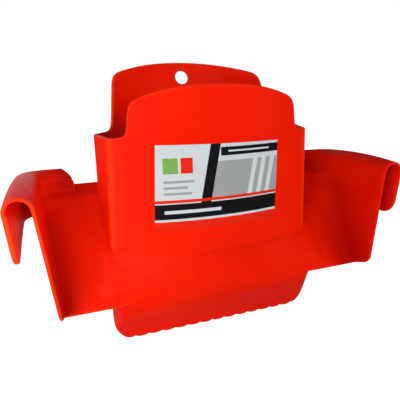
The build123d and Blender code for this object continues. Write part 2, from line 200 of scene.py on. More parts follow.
@dataclass
class Sheet:
    """A moulded wall: a grid of points on its shown face, given a thickness and a rim.

    Columns × rows point out of the face. The wall behind it and its tones are one number or
    one per point: how deep in a recess it lies, which is painted shade standing in for
    shadow there; its own rim share, which carries a painted highlight; and the rim share of
    the rounded rim, which stands out by the bulge. The rim tint is partly paler trimmed
    edges and partly painted highlight.
    """

    points: Array
    kept: Array | None = None
    thickness: float | Array = 2.6
    bulge: float = 1.0
    steps: int = 4
    closed: bool = False
    # Painted shade standing in for shadow in recesses, 0 to 1.
    painted_shade: float | Array = 0.0
    # Rim share of the face itself, which carries a painted highlight.
    wear_and_highlight: float | Array = 0.0
    # Rim share of the rounded rim: partly paler trimmed edges, partly painted highlight.
    rim_wear_and_highlight: float = 1.0
    squareness: float = 0.7

    def quads(self) -> Array:
        """Find the kept quads of the face.

        Returns:
            Corner numbers of each quad.
        """
        rows, columns = self.points.shape[:2]
        index = np.arange(rows * columns).reshape(rows, columns)
        if self.closed:
            index = np.concatenate([index, index[:, :1]], axis=1)
        corners = np.stack([index[:-1, :-1], index[:-1, 1:], index[1:, 1:], index[1:, :-1]], -1)
        return corners.reshape(-1, 4) if self.kept is None else corners[self.kept]

    def spread(self, value: float | Array) -> Array:
        """A value of the face for each of its points, in one row."""
        return np.broadcast_to(np.asarray(value, float), self.points.shape[:2]).ravel()

    def solid(self) -> tuple[Array, Array, Array, Array]:
        """Close the sheet into a solid.

        The back is the face moved in along its normals. At each free edge the rim is middle +
        half wall × cos t + bulge × sin t, with both waves raised to the squareness. Its rim
        share is whole, and half where it meets face and back.

        Returns:
            Points, quads, and for each point its rim share, which carries wear and painted
            highlight, and its share of painted shade.
        """
        quads = self.quads()
        face = self.points.reshape(-1, 3)
        count = len(face)
        sides = face[quads[:, 2]] - face[quads[:, 0]], face[quads[:, 3]] - face[quads[:, 1]]
        normal = np.zeros_like(face)
        np.add.at(normal, quads.ravel(), np.repeat(np.cross(*sides), 4, axis=0))
        normal = unit(normal)
        back = face - normal * self.spread(self.thickness)[:, None]

        start = quads.ravel()
        end = np.roll(quads, -1, axis=1).ravel()
        free = ~np.isin(start * count + end, end * count + start)
        start, end = start[free], end[free]
        out = unit(np.cross(face[end] - face[start], normal[start] + normal[end]))
        push = np.zeros_like(face)
        np.add.at(push, start, out)
        np.add.at(push, end, out)
        border = np.unique(start)
        push = unit(push[border])
        number = np.zeros(count, int)
        number[border] = np.arange(len(border))

        turn = np.linspace(0.0, math.pi, self.steps + 2)[1:-1, None, None]
        along = np.sign(np.cos(turn)) * np.abs(np.cos(turn)) ** self.squareness
        middle = (face[border] + back[border]) / 2.0
        half = (face[border] - back[border]) / 2.0
        loops = middle + half * along + push * self.bulge * np.sin(turn) ** self.squareness

        shift = 2 * count + len(border) * np.arange(self.steps)[:, None]
        ladder_start = np.vstack([start, shift + number[start], start + count])
        ladder_end = np.vstack([end, shift + number[end], end + count])
        rim = np.stack([ladder_end[:-1], ladder_start[:-1], ladder_start[1:], ladder_end[1:]], -1)

        points = np.concatenate([face, back, loops.reshape(-1, 3)])
        faces = np.concatenate([quads, quads[:, ::-1] + count, rim.reshape(-1, 4)])
        edge = np.zeros(len(points))
        edge[2 * count:] = self.rim_wear_and_highlight
        edge[border] = edge[border + count] = 0.5 * self.rim_wear_and_highlight
        edge[:count] = np.maximum(edge[:count], self.spread(self.wear_and_highlight))
        # Each face point's share of painted shade.
        deep = np.zeros(len(points))
        deep[:count] = self.spread(self.painted_shade)
        used, renumbered = np.unique(faces, return_inverse=True)
        return points[used], renumbered.reshape(-1, 4), edge[used], deep[used]

    def piece(self, name: str) -> Object:
        """Make the closed sheet a Blender object at the origin, in metres.

        Args:
            name: Name of the piece.

        Returns:
            The object, with its rim tint (wear and painted highlight) and its painted shade as
            attributes.
        """
        points, quads, edge, deep = self.solid()
        mesh = bpy.data.meshes.new(name)
        mesh.from_pydata(points * MM, [], quads)
        # Rim tint (wear and painted highlight) and painted shade go to the mesh as attributes.
        for key, values in (("rim", edge), ("painted_shade", deep)):
            data = mesh.attributes.new(key, "FLOAT", "POINT").data
            data.foreach_set("value", values.astype(np.float32))
        mesh.polygons.foreach_set("use_smooth", np.ones(len(quads), bool))
        mesh.update()
        return put(name, mesh)


@dataclass
class Nodes:
    """Short ways to add shader nodes to one material or world."""

    owner: Material | World

    def __post_init__(self) -> None:
        """Turn nodes on and find the shader."""
        self.owner.use_nodes = True
        self.tree = self.owner.node_tree
        self.shader = self.tree.nodes.get("Principled BSDF") or self.tree.nodes["Background"]

    def add(self, kind: str, feeds: object = (), **settings: object) -> NodeOutputs:
        """Add a node, set its properties and feed its sockets.

        Args:
            kind: Type of the node, without its prefix.
            feeds: What feeds which socket, by name or number.
            settings: Properties of the node.

        Returns:
            The node's outputs.
        """
        node = self.tree.nodes.new("ShaderNode" + kind)
        for key, value in settings.items():
            setattr(node, key, value)
        for key, value in dict(feeds).items():
            self.feed(node.inputs[key], value)
        return node.outputs

    def feed(self, socket: NodeSocket | str, value: object) -> None:
        """Link a socket into another one, or set a plain value on it.

        Args:
            socket: Socket to feed, or the name of one of the shader's.
            value: Socket that feeds it, or its value.
        """
        into = self.shader.inputs[socket] if isinstance(socket, str) else socket
        if isinstance(value, NodeSocket):
            self.tree.links.new(value, into)
        else:
            into.default_value = value

    def maths(self, operation: str, *values: object) -> NodeSocket:
        """Arithmetic on sockets or numbers."""
        return self.add("Math", enumerate(values), operation=operation)[0]

    def mix(self, share: object, first: object, second: object) -> NodeSocket:
        """Colour between two colours."""
        return self.add("Mix", {"Factor": share, 6: first, 7: second}, data_type="RGBA")[2]

    def noise(self, where: NodeSocket, scale: float, detail: float = 3.0) -> NodeSocket:
        """Cloudy value from 0 to 1 at a place."""
        return self.add("TexNoise", {"Vector": where, "Scale": scale, "Detail": detail})["Fac"]

    def span(self, value: NodeSocket, *ends: float) -> NodeSocket:
        """Value carried from one range, ends 0 and 1, onto another, ends 2 and 3."""
        return self.add("MapRange", enumerate((value, *ends)))[0]

    def clouds(self, where: NodeSocket, scale: float, low: float, high: float) -> NodeSocket:
        """Noise with its middle range carried onto low to high."""
        return self.span(self.noise(where, scale), *NOISE_MIDDLE, low, high)

    def bump(self, height: NodeSocket, strength: float, depth: float) -> None:
        """Raise the surface by a height map, depth in metres."""
        feeds = {"Height": height, "Strength": strength, "Distance": depth}
        self.feed("Normal", self.add("Bump", feeds)["Normal"])


@dataclass(frozen=True)
class RedMoulding:
    """Pigmented polypropylene as it leaves the mould: satin, uneven, with paler rims that are
    partly trimmed edges and partly painted highlight, and painted shade in recesses.

    The scales are those of the flow clouds, the satin and two grains; the relief is the
    grain's strength and its depth in metres.
    """

    deep: tuple = (0.77, 0.009, 0.0006, 1.0)
    bright: tuple = (0.83, 0.013, 0.0010, 1.0)
    # Paler rim colour: partly trimmed edges, partly painted highlight.
    edge: tuple = (0.86, 0.040, 0.0060, 1.0)
    # Painted shade colour, standing in for shadow in recesses.
    painted_shade_colour: tuple = (0.34, 0.0020, 0.0002, 1.0)
    # Share of the rim tint, which is partly wear and partly painted highlight.
    rim_tint_share: float = 0.5
    roughness: tuple = (0.31, 0.41)
    specular: float = 0.045
    scales: tuple = (14.0, 160.0, 1500.0, 260.0)
    relief: tuple = (0.10, 0.0002)

    def material(self) -> Material:
        """Tone from wide flow clouds, painted shade in recesses, a rim tint of wear and painted
        highlight, grain from two fine noises.

        Returns:
            The finished material.
        """
        nodes = Nodes(bpy.data.materials.new("red_moulding"))
        where = nodes.add("TexCoord")["Object"]
        flow, satin, fine, coarse = self.scales
        tone = nodes.clouds(where, flow, 0.0, 1.0)
        rim, painted_shade = (
            nodes.add("Attribute", attribute_name=name)["Fac"] for name in ("rim", "painted_shade")
        )
        # Painted shade: the tone darkens towards the shade colour in recesses.
        body = nodes.mix(painted_shade, nodes.mix(tone, self.deep, self.bright), self.painted_shade_colour)
        # Rim tint: partly paler trimmed edges, partly painted highlight.
        wear_and_highlight = nodes.maths("MULTIPLY", rim, self.rim_tint_share)
        nodes.feed("Base Color", nodes.mix(wear_and_highlight, body, self.edge))
        nodes.feed("Roughness", nodes.clouds(where, satin, *self.roughness))
        nodes.feed("Specular IOR Level", self.specular)
        grains = (nodes.noise(where, scale, GRAIN_DETAIL) for scale in (fine, coarse))
        nodes.bump(nodes.maths("ADD", *grains), *self.relief)
        return nodes.owner


@dataclass(frozen=True)
class PrintedLabel:
    """Coated paper label with a plain printed design of bands and tiles.

    A layer is a box, from the lowest up: its colour, its ends across and up in shares of
    the label, and its lean.
    """

    left: float = -48.8
    bottom: float = -39.4
    width: float = 95.6
    height: float = 61.0
    paper: tuple = (0.56, 0.61, 0.62, 1.0)
    shade: tuple = (0.50, 0.55, 0.56, 1.0)
    ink: tuple = (0.005, 0.005, 0.006, 1.0)
    grey: tuple = (0.30, 0.32, 0.31, 1.0)
    red: tuple = (0.72, 0.016, 0.004, 1.0)
    green: tuple = (0.18, 0.36, 0.08, 1.0)
    specular: float = 0.1
    scales: tuple = (40.0, 300.0, 1800.0)
    roughness: tuple = (0.34, 0.44)
    relief: tuple = (0.05, 0.0001)
    layers: tuple = (
        ("grey", 0.42, 1.0, 0.36, 0.80),
        ("paper", 0.68, 0.72, 0.36, 0.80, 0.12),
        ("paper", 0.76, 0.80, 0.36, 0.80, 0.12),
        ("paper", 0.84, 0.88, 0.36, 0.80, 0.12),
        ("ink", 0.30, 0.38, 0.32, 1.0, 0.12),
        ("ink", 0.50, 1.0, 0.86, 0.96),
        ("ink", 0.0, 1.0, 0.14, 0.32),
        ("red", 0.0, 1.0, 0.335, 0.37),
        ("red", 0.0, 1.0, 0.0, 0.11),
        ("green", 0.06, 0.17, 0.68, 0.86),
        ("red", 0.19, 0.28, 0.68, 0.86),
        ("grey", 0.06, 0.29, 0.57, 0.60),
        ("grey", 0.06, 0.24, 0.50, 0.53),
        ("grey", 0.06, 0.27, 0.43, 0.46),
        ("paper", 0.06, 0.50, 0.205, 0.245),
        ("paper", 0.56, 0.92, 0.90, 0.92),
    )

    def material(self) -> Material:
        """Boxes over paper: 1 where both shares are within half the box of its middle.

        Leaning boxes first shift the share across by a part of that up.

        Returns:
            The finished material.
        """
        nodes = Nodes(bpy.data.materials.new("printed_label"))
        where = nodes.add("TexCoord")["Object"]
        parts = nodes.add("SeparateXYZ", {0: where})
        left, right = self.left * MM, (self.left + self.width) * MM
        low, high = self.bottom * MM, (self.bottom + self.height) * MM
        across = nodes.span(parts["X"], left, right, 0.0, 1.0)
        up = nodes.span(parts["Z"], low, high, 0.0, 1.0)
        fibre, satin, grain = self.scales
        colour = nodes.mix(nodes.noise(where, fibre), self.paper, self.shade)
        for shade, left, right, low, high, *leans in self.layers:
            slid = across
            for lean in leans:
                slid = nodes.maths("ADD", across, nodes.maths("MULTIPLY", up, -lean))
            wide = nodes.maths("COMPARE", slid, (left + right) / 2, (right - left) / 2)
            tall = nodes.maths("COMPARE", up, (low + high) / 2, (high - low) / 2)
            box = nodes.maths("MULTIPLY", wide, tall)
            colour = nodes.mix(box, colour, getattr(self, shade))
        nodes.feed("Base Color", colour)
        nodes.feed("Roughness", nodes.clouds(where, satin, *self.roughness))
        nodes.feed("Specular IOR Level", self.specular)
        nodes.bump(nodes.noise(where, grain, GRAIN_DETAIL), *self.relief)
        return nodes.owner


@dataclass
class Pocket(Piece):
    """The deep bowed pocket, one continuous wall from the two arched tabs to the basket.

    Sizes with four values are those at the levels bottom, bend, crease and top.
    """

    nodes = (
        "front_wall", "front_tab", "back_wall", "back_tab", "left_side_wall",
        "right_side_wall", "front_belly", "lower_back_wall", "left_basket_end",
        "right_basket_end",
    )
    wall: float = 2.6
    levels: tuple = (-126.0, -86.3, -57.0, 80.2)
    bend_reach: tuple = (13.0, 2.5)
    front_half: tuple = (83.4, 78.6, 81.0, 77.4)
    front_y: tuple = (-4.0, -24.5, -2.0, 4.5)
    front_bow: tuple = (0.4, 0.6, 14.0, 14.0)
    back_half: tuple = (81.5, 84.8, 85.4, 84.6)
    back_y: tuple = (16.0, 15.0, 20.0, 28.2)
    apex_y: tuple = (20.05, 33.27, 43.03, 88.72)
    back_lean: float = 0.333
    end_radius: float = 11.0
    bottom_radius: float = 1.5
    front_end: float = 0.187
    back_start: float = 0.242
    front_tab: tuple = (
        (0.0, 61.2), (12.0, 61.1), (23.0, 60.6), (35.0, 58.9), (47.0, 56.0),
        (55.0, 53.5), (62.8, 50.4), (65.2, 26.4), (78.9, 26.4),
    )
    back_tab: tuple = (
        (82.0, 26.6), (69.4, 26.0), (63.9, 67.4), (58.0, 69.4), (50.0, 71.5),
        (40.0, 73.5), (30.0, 75.0), (20.0, 76.0), (10.0, 76.5), (0.0, 76.7),
    )
    tab_rounding: float = 13.0
    corner_rounding: tuple = (15.5, 4.5)
    basket_blend: tuple = (-83.0, -12.0)
    foot_rows: tuple = (-112.0, 13.4, 1.5, 15)
    low_rows: tuple = (
        (-109.5, -98.0, 5), (-96.0, -76.0, 14), (-73.5, -61.0, 6), (-60.0, -54.0, 7),
    )
    base_rows: tuple = (-50.0, -12.0, 10)
    upper_rows: int = 52
    table_rows: tuple = (82.0, 60)
    columns: int = 400
    plan_steps: int = 1440
    plan_step: float = 0.3
    edge_steps: int = 2400
    edge_finer: int = 5
    hole_x: float = 0.5
    hole_z: float = 65.3
    hole_radius: float = 6.9
    hole_window: tuple = (4, 5)
    hole_fade: float = 0.7
    # Painted highlight along the upright front corners: depth, reach, place and rise.
    corner_shine: tuple = (1.6, 2.4, 0.3, 6.0)
    # Painted shade under the front's crease: depth and reach, then where it fades.
    crease_shade: tuple = (0.22, 9.0)
    crease_front: tuple = (10.0, -6.0)
    crease_left: tuple = (-55.0, 60.0)
    crease_right: tuple = (74.0, 16.0)
    crease_line: tuple = (-0.5, 1.5)
    lobe_pitch: float = 10.7
    lobe_x: float = 1.8
    lobes: int = 15
    lobe_depth: float = 1.5
    lobe_height: float = 9.0
    lobe_fade: float = 2.0
    lobe_forward: tuple = (0.4, 8.0)

    def __post_init__(self) -> None:
        """Lay out the level rows, closer at corners and bends, and the plans with round corners.

        Corners are rounded by a moving average, long at the basket and short above it.
        """
        top, depth, angle, count = self.foot_rows
        foot = top - depth * np.sin(np.linspace(angle, 0.0, count))
        spans = (np.linspace(*span) for span in (*self.low_rows, self.base_rows))
        self.low = np.hstack([foot, *spans])
        upper = np.linspace(self.base_rows[1], *self.table_rows)[1:]
        self.rows = np.hstack([self.low, upper])
        turn = np.arange(self.plan_steps) / self.plan_steps
        plan = np.stack(self.plan(turn[None, :], self.rows[:, None]))
        low, high = (blur_round(plan, round(r / self.plan_step)) for r in self.corner_rounding)
        share = grow(self.rows, *self.basket_blend)[:, None]
        self.plans = np.moveaxis(low * share + high * (1.0 - share), 0, -1)

    def at(self, name: str, z: Array) -> Array:
        """A size at a height, by its broken line with rounded bends."""
        return eased_line(z, self.levels, getattr(self, name), self.bend_reach)

    def arcs(self, z: Array) -> tuple[Array, ...]:
        """Front and back arcs of the plan, each of radius (half² + rise²) / 2 rise.

        Args:
            z: Heights.

        Returns:
            Front radius and half angle, back radius and half angle.
        """
        half, bow = self.at("front_half", z), self.at("front_bow", z)
        front = (half * half + bow * bow) / (2.0 * bow)
        wide, rise = self.at("back_half", z), self.at("apex_y", z) - self.at("back_y", z)
        back = (wide * wide + rise * rise) / (2.0 * rise)
        return front, np.arcsin(half / front), back, np.arcsin(np.minimum(wide / back, 1.0))

    def plan(self, turn: Array, z: Array) -> tuple[Array, Array]:
        """Sharp-cornered plan: front arc, straight side, back arc, and the mirror image.

        Args:
            turn: 0 at the front middle, 0.5 at the back middle, going by the right.
            z: Heights.

        Returns:
            X and Y.
        """
        share = np.minimum(turn, 1.0 - turn)
        front, front_angle, back, back_angle = self.arcs(z)
        low = self.levels[0] - z
        inset = quarter(low + self.bottom_radius, self.bottom_radius)
        draw = quarter(low + self.end_radius, self.end_radius)
        front_y, back_y = self.at("front_y", z), self.at("back_y", z)
        lead = front_angle * np.clip(share / self.front_end, 0.0, 1.0)
        gap = self.back_start - self.front_end
        span = np.clip((share - self.front_end) / gap, 0.0, 1.0)
        trail = back_angle * np.clip((0.5 - share) / (0.5 - self.back_start), 0.0, 1.0)
        half_front, half_back = self.at("front_half", z), self.at("back_half", z)
        x_front = front * np.sin(lead) * (1.0 - draw / half_front)
        y_front = front_y - self.at("front_bow", z) + front * (1.0 - np.cos(lead)) + inset
        x_back = back * np.sin(trail) * (1.0 - draw / half_back)
        y_back = self.at("apex_y", z) - back * (1.0 - np.cos(trail)) - inset
        x_side = between(half_front, half_back, span) - draw
        y_side = front_y + inset + (back_y - front_y - 2.0 * inset) * span
        stretch = 1 - (share < self.front_end) + (share > self.back_start)
        x = np.choose(stretch, (x_front, x_side, x_back))
        y = np.choose(stretch, (y_front, y_side, y_back))
        return np.where(turn > 0.5, -x, x), y

    def side_x(self, y: Array, z: Array) -> Array:
        """X of the right wall, on the straight side or else on the back arc.

        Args:
            y: Depths.
            z: Heights.

        Returns:
            X at each of them.
        """
        front_y, back_y = self.at("front_y", z), self.at("back_y", z)
        half_front, half_back = self.at("front_half", z), self.at("back_half", z)
        back = self.arcs(z)[2]
        straight = half_front + (half_back - half_front) * (y - front_y) / (back_y - front_y)
        from_centre = y - (self.at("apex_y", z) - back)
        curved = np.sqrt(np.maximum(back * back - from_centre**2, 1.0))
        return np.where(y < back_y, straight, curved)

    def front_at(self, x: Array, z: Array) -> Array:
        """Y of the front arc, carried on past its ends: middle + r − √(r² − x²).

        Args:
            x: Places across.
            z: Heights.

        Returns:
            Y at each of them.
        """
        front = self.arcs(z)[0]
        rise = front - np.sqrt(np.maximum(front * front - x * x, 1.0))
        return self.at("front_y", z) - self.at("front_bow", z) + rise

    def front_turn(self, x: Array, z: Array) -> Array:
        """Turn at which the front arc has an X."""
        front, angle, _, _ = self.arcs(z)
        return self.front_end * np.arcsin(np.clip(x / front, -1.0, 1.0)) / angle

    def back_turn(self, x: Array, z: Array) -> Array:
        """Turn at which the back arc has an X."""
        _, _, back, angle = self.arcs(z)
        return 0.5 - (0.5 - self.back_start) * np.arcsin(np.clip(x / back, -1.0, 1.0)) / angle

    def surface(self, turn: Array, z: Array) -> Array:
        """Points of the outer face, read between the plans' rows and columns.

        Args:
            turn: Turns of the points.
            z: Their heights.

        Returns:
            The points.
        """
        row = np.clip(np.searchsorted(self.rows, z, side="right") - 1, 0, len(self.rows) - 2)
        rise = ((z - self.rows[row]) / (self.rows[row + 1] - self.rows[row]))[..., None]
        step = np.mod(turn, 1.0) * self.plan_steps
        column = np.floor(step).astype(int) % self.plan_steps
        run = (step - np.floor(step))[..., None]
        after = (column + 1) % self.plan_steps
        low, high = (
            self.plans[at, column] * (1.0 - run) + self.plans[at, after] * run
            for at in (row, row + 1)
        )
        return np.concatenate([low * (1.0 - rise) + high * rise, z[..., None]], -1)

    def rim_line(self) -> tuple[Array, Array, Array]:
        """Top edge: front tab, shoulder, back tab and the mirror image, evened out and rounded.

        Returns:
            Turn, height and share of the edge's length at each column.
        """
        front, back = np.array(self.front_tab).T, np.array(self.back_tab).T
        turns = np.hstack([self.front_turn(*front), self.back_turn(*back)])
        heights = np.hstack([front[1], back[1]])
        turns = np.hstack([turns, 1.0 - turns[-2:0:-1], [1.0]])
        heights = np.hstack([heights, heights[-2:0:-1], heights[:1]])
        knot = np.arange(len(turns))
        fine = np.linspace(0.0, knot[-1], self.edge_finer * self.edge_steps + 1)
        turn, z = np.interp(fine, knot, turns), np.interp(fine, knot, heights)
        x, y = self.plan(np.clip(turn, 0.0, 1.0), z)
        stride = np.sqrt(np.diff(x) ** 2 + np.diff(y) ** 2 + np.diff(z) ** 2)
        length = np.hstack([[0.0], np.cumsum(stride)])
        share = np.arange(self.edge_steps) / self.edge_steps
        turn = np.interp(share * length[-1], length, turn)
        z = np.interp(share * length[-1], length, z)
        half = round(self.tab_rounding / length[-1] * self.edge_steps)
        turn = share + blur_round(turn - share, half)
        z = blur_round(z, half)
        every = self.edge_steps // self.columns
        return turn[::every], z[::every], share[::every]

    def pierce(self, turn: Array, z: Array) -> tuple[Array, ...]:
        """Open the hanging hole in the back tab.

        A window of quads is left out. Rings of points round it are drawn towards circles, all
        the way at the window and less with distance.

        Args:
            turn: Turns of the grid's points.
            z: Their heights.

        Returns:
            New turns, new heights, and the quads kept.
        """
        rows, columns = z.shape
        middle, first = columns // 2, len(self.low)
        centre = int(np.argmin(np.abs(z[first:, middle] - self.hole_z))) + first
        tall, wide = self.hole_window
        down = (np.arange(rows) - centre)[:, None] / tall
        over = (np.arange(columns) - middle)[None, :] / wide
        ring = np.maximum(np.abs(down), np.abs(over))
        length = np.maximum(np.sqrt(down**2 + over**2), 1e-6)
        pull = fade(ring, 1.0, self.hole_fade)
        lean = math.cos(math.atan(self.back_lean))
        x_round = self.hole_x - self.hole_radius * ring * over / length
        z_round = self.hole_z + self.hole_radius * lean * ring * down / length
        x_new = self.surface(turn, z)[..., 0] * (1.0 - pull) + x_round * pull
        z_new = z * (1.0 - pull) + z_round * pull
        near = pull > 0.0
        turned = np.where(near, self.back_turn(x_new, z_new), turn)
        kept = np.ones((rows - 1, columns), bool)
        kept[centre - tall:centre + tall, middle - wide:middle + wide] = False
        return turned, np.where(near, z_new, z), kept

    def scallop(self, points: Array) -> Array:
        """Draw the bottom edge down into lobes, which fade out with height.

        Args:
            points: The grid's points.

        Returns:
            The points with the lowest rows lobed.
        """
        x, y, z = np.moveaxis(points, -1, 0)
        wave = lobed(x - self.lobe_x, self.lobe_pitch)
        inside = grow(np.abs(x), self.lobes / 2.0 * self.lobe_pitch, -self.lobe_fade)
        low = grow(z, self.levels[0] + self.lobe_height, -self.lobe_height)
        depth = self.lobe_depth * wave * inside * low
        part, front_y = self.lobe_forward
        return stack(x, y - part * depth * (y < front_y), z - depth)

    def crease(self, points: Array) -> Array:
        """Share of painted shade under the front's crease, dying away below it and towards the
        left.

        Args:
            points: Points of the pocket or of a wing.

        Returns:
            A share of painted shade for each point.
        """
        x, y, z = np.moveaxis(points, -1, 0)
        below = self.levels[2] - z
        depth, reach = self.crease_shade
        share = depth * grow(y, *self.crease_front) * grow(x, *self.crease_left)
        share = share * fade(x, *self.crease_right) * grow(below, *self.crease_line)
        return share * np.exp(-np.maximum(below, 0.0) / reach)

    def painted_corner_highlight(self, points: Array) -> Array:
        """Painted highlight along the two upright front corners, a bell round the middle of their
        arc.

        Args:
            points: The grid's points.

        Returns:
            A share of painted highlight for each point.
        """
        x, y, z = np.moveaxis(points, -1, 0)
        depth, reach, part, rise = self.corner_shine
        radius = self.corner_rounding[1]
        half = self.at("front_half", z)
        beside = np.abs(x) - half + part * radius
        ahead = y - self.front_at(half - radius, z) - part * radius
        bell = np.exp(-(beside**2 + ahead**2) / reach**2)
        return depth * bell * grow(z, self.levels[2], rise)

    def build(self) -> Object:
        """Lay the grid over the pocket and close it into a wall.

        Rows below the base are level. Above it each column runs straight, in turn and height, to
        its own place on the top edge.

        Returns:
            The pocket's wall.
        """
        rim_turn, rim_z, share = self.rim_line()
        base, base_z = (rim_turn + share) / 2.0, self.base_rows[1]
        climb = shares(self.upper_rows)
        level = np.repeat(self.low[:, None], self.columns, 1)
        z = np.concatenate([level, between(base_z, rim_z, climb)])
        even = np.repeat(base[None, :], len(self.low), 0)
        turn = np.concatenate([even, between(base, rim_turn, climb)])
        turn, z, kept = self.pierce(turn, z)
        points = self.scallop(self.surface(turn, z))
        sheet = Sheet(points, kept, self.wall, closed=True)
        # Painted shade under the crease and a painted highlight along the front corners.
        sheet.painted_shade, sheet.wear_and_highlight = self.crease(points), self.painted_corner_highlight(points)
        return sheet.piece("pocket_wall")


@dataclass
class DrainFloor(Piece):
    """Slotted floor of the basket, with rounded lobes under it."""

    nodes = ("drain_floor", "drain_ribs")
    top_z: float = -122.8
    plate: float = 2.6
    half_length: float = 70.0
    front_y: float = -2.6
    back_y: float = 16.4
    rows: int = 30
    pitch: float = 10.7
    pitch_cells: int = 14
    lobe_x: float = 1.8
    lobes: int = 13
    lobe_share: float = 0.92
    lobe_depth: float = 1.3
    lobe_fade: float = 2.0
    slot_y: tuple = (2.0, 12.0)
    slot_cells: float = 2.0

    def build(self) -> Object:
        """Flat grid above, lobed below: the wall is the plate plus lobes that fade at its sides.

        Returns:
            The floor.
        """
        cell = self.pitch / self.pitch_cells
        reach = round(self.half_length / cell)
        x, y = np.meshgrid(
            cell * np.arange(-reach, reach + 1), np.linspace(self.front_y, self.back_y, self.rows)
        )
        wave = lobed(x, self.pitch, self.lobe_share)
        inside = np.abs(x) < (self.lobes / 2.0) * self.pitch
        from_edge = np.minimum(y - self.front_y, self.back_y - y)
        wall = self.plate + self.lobe_depth * wave * inside * grow(from_edge, 0.0, self.lobe_fade)
        points = stack(x + self.lobe_x, y, self.top_z)
        mid_x, mid_y = ((grid[:-1, :-1] + grid[1:, 1:]) / 2.0 for grid in (x, y))
        off = np.abs(np.mod(mid_x / self.pitch, 1.0) - 0.5) * self.pitch
        slot = (off < self.slot_cells * cell) & (mid_y > self.slot_y[0]) & (mid_y < self.slot_y[1])
        slot &= np.abs(mid_x) < (self.lobes - 1) / 2.0 * self.pitch
        return Sheet(points, ~slot, wall, bulge=0.4, steps=3).piece("drain_floor_plate")


